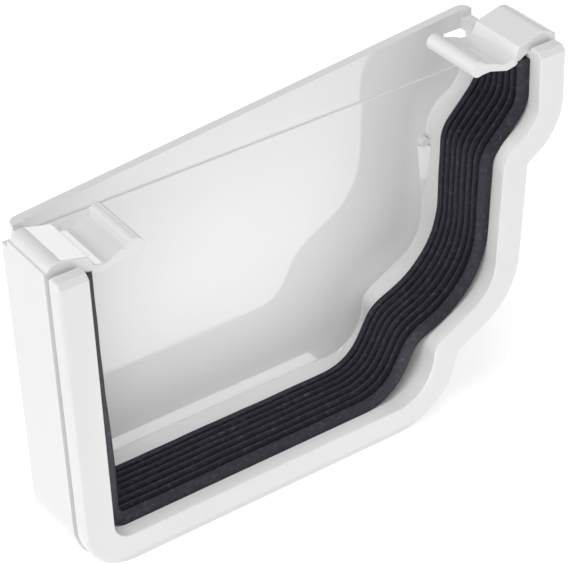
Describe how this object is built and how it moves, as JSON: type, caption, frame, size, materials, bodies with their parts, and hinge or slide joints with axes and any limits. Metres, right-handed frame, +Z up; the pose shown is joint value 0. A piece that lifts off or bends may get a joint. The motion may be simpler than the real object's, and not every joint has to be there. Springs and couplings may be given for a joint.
{
  "type": "gutter stop end",
  "caption": "Right-hand external stop end for an ogee rain gutter: a shallow white cup with an ogee outline, a thick mouth flange, retaining clips and a ribbed black rubber seal.",
  "frame": {"origin": "centre of the overall box, on the level of the flat bottom", "axes": "+X across the gutter from the flat back wall to the ogee front, +Y from the open mouth to the closed end wall, +Z up"},
  "size_m": [0.127, 0.0286, 0.0879],
  "materials": {
    "white_pvc": "high gloss moulded",
    "black_rubber": "matt, ribbed"
  },
  "bodies": {
    "root": {"stop_end_body": "white_pvc", "rubber_seal": "black_rubber"}
  },
  "joints": []
}
